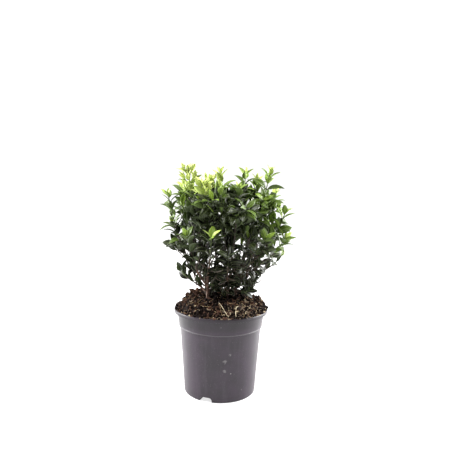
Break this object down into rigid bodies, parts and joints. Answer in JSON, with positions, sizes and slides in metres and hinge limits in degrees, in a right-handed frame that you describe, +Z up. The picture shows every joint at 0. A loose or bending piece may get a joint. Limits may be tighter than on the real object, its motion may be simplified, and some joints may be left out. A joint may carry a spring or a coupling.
{
  "type": "potted euonymus",
  "caption": "Young evergreen euonymus shrub, its upright leafy stems rising from heaped bark compost in a round tapered nursery pot with a rim band and drain notches.",
  "frame": {"origin": "centre of the flat underside of the pot, on the surface that it stands on", "axes": "+Z up along the axis of the pot; -Y towards the viewer of the picture, +X to the right there"},
  "size_m": [0.1725, 0.1558, 0.301],
  "materials": {
    "pot": "satin",
    "soil": "rough",
    "bark": "rough",
    "foliage": "glossy leaf"
  },
  "bodies": {
    "root": {"back_left_bough_1": "bark", "back_left_bough_2": "bark", "back_right_bough_1": "bark", "back_right_bough_2": "bark", "back_right_bough_3": "bark", "foliage_back_left_1": "foliage", "foliage_back_left_2": "foliage", "foliage_back_left_3": "foliage", "foliage_back_right_1": "foliage", "foliage_back_right_2": "foliage", "foliage_back_right_3": "foliage", "foliage_back_right_4": "foliage", "foliage_front_1": "foliage", "foliage_front_2": "foliage", "foliage_front_3": "foliage", "foliage_front_4": "foliage", "foliage_front_5": "foliage", "foliage_front_left_1": "foliage", "foliage_front_left_2": "foliage", "foliage_front_left_3": "foliage", "foliage_front_left_4": "foliage", "foliage_left_1": "foliage", "foliage_left_2": "foliage", "foliage_left_3": "foliage", "foliage_right_1": "foliage", "foliage_right_2": "foliage", "foliage_right_3": "foliage", "foliage_right_4": "foliage", "front_bough_1": "bark", "front_bough_2": "bark", "front_bough_3": "bark", "front_bough_4": "bark", "front_left_bough_1": "bark", "front_left_bough_2": "bark", "front_left_bough_3": "bark", "left_bough_1": "bark", "left_bough_2": "bark", "pot": "pot", "right_bough_1": "bark", "right_bough_2": "bark", "right_bough_3": "bark", "soil": "soil", "stem_back_left": "bark", "stem_back_right": "bark", "stem_front": "bark", "stem_front_left": "bark", "stem_left": "bark", "stem_right": "bark"}
  },
  "joints": []
}
